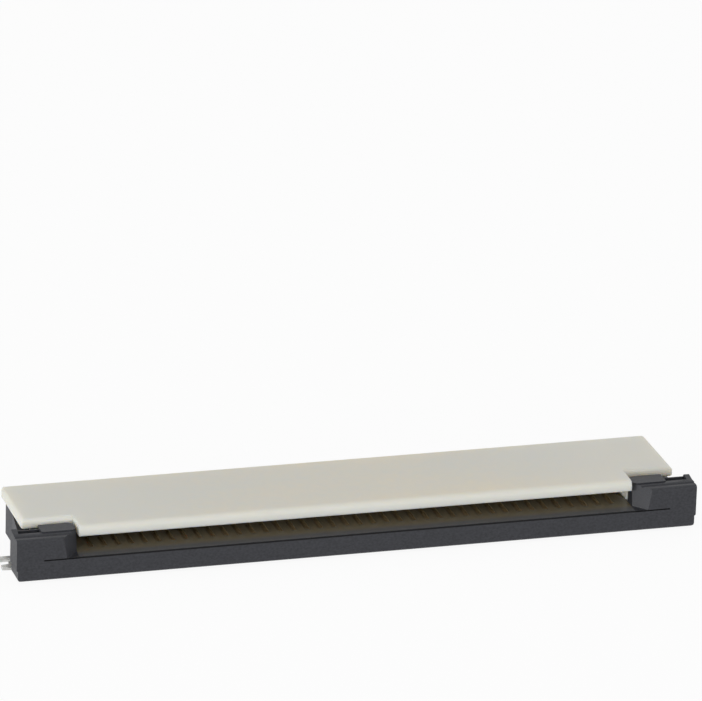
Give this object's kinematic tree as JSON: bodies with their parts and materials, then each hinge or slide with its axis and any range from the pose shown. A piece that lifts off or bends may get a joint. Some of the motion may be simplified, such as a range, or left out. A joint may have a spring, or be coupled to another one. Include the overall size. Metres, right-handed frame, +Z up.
{
  "type": "flexible cable connector",
  "caption": "Low right-angle board connector for a flat flexible cable: ivory housing, black slide lock with side arms, a row of gold contacts and a solder hold-down at each end.",
  "frame": {"origin": "middle of the part's footprint, on the board, with the slider shut", "axes": "+X along the row of contacts, +Y the way the cable goes in, +Z up from the board"},
  "size_m": [0.0258, 0.0046, 0.0019],
  "materials": {
    "ivory_resin": "matte moulded resin",
    "black_resin": "matte glass-filled resin",
    "gold_plate": "bright gold plate",
    "tin_plate": "satin tin plate"
  },
  "bodies": {
    "housing": {"housing": "ivory_resin", "hold_down_left": "tin_plate", "hold_down_right": "tin_plate", "contact_01": "gold_plate", "contact_02": "gold_plate", "contact_03": "gold_plate", "contact_04": "gold_plate", "contact_05": "gold_plate", "contact_06": "gold_plate", "contact_07": "gold_plate", "contact_08": "gold_plate", "contact_09": "gold_plate", "contact_10": "gold_plate", "contact_11": "gold_plate", "contact_12": "gold_plate", "contact_13": "gold_plate", "contact_14": "gold_plate", "contact_15": "gold_plate", "contact_16": "gold_plate", "contact_17": "gold_plate", "contact_18": "gold_plate", "contact_19": "gold_plate", "contact_20": "gold_plate", "contact_21": "gold_plate", "contact_22": "gold_plate", "contact_23": "gold_plate", "contact_24": "gold_plate", "contact_25": "gold_plate", "contact_26": "gold_plate", "contact_27": "gold_plate", "contact_28": "gold_plate", "contact_29": "gold_plate", "contact_30": "gold_plate", "contact_31": "gold_plate", "contact_32": "gold_plate", "contact_33": "gold_plate", "contact_34": "gold_plate", "contact_35": "gold_plate", "contact_36": "gold_plate", "contact_37": "gold_plate", "contact_38": "gold_plate", "contact_39": "gold_plate", "contact_40": "gold_plate"},
    "slider": {"slider": "black_resin"}
  },
  "joints": [
    {"name": "slider_lock", "type": "slide", "parent": "housing", "child": "slider", "axis": [0, -1, 0], "range_m": [0, 0.00085]}
  ]
}
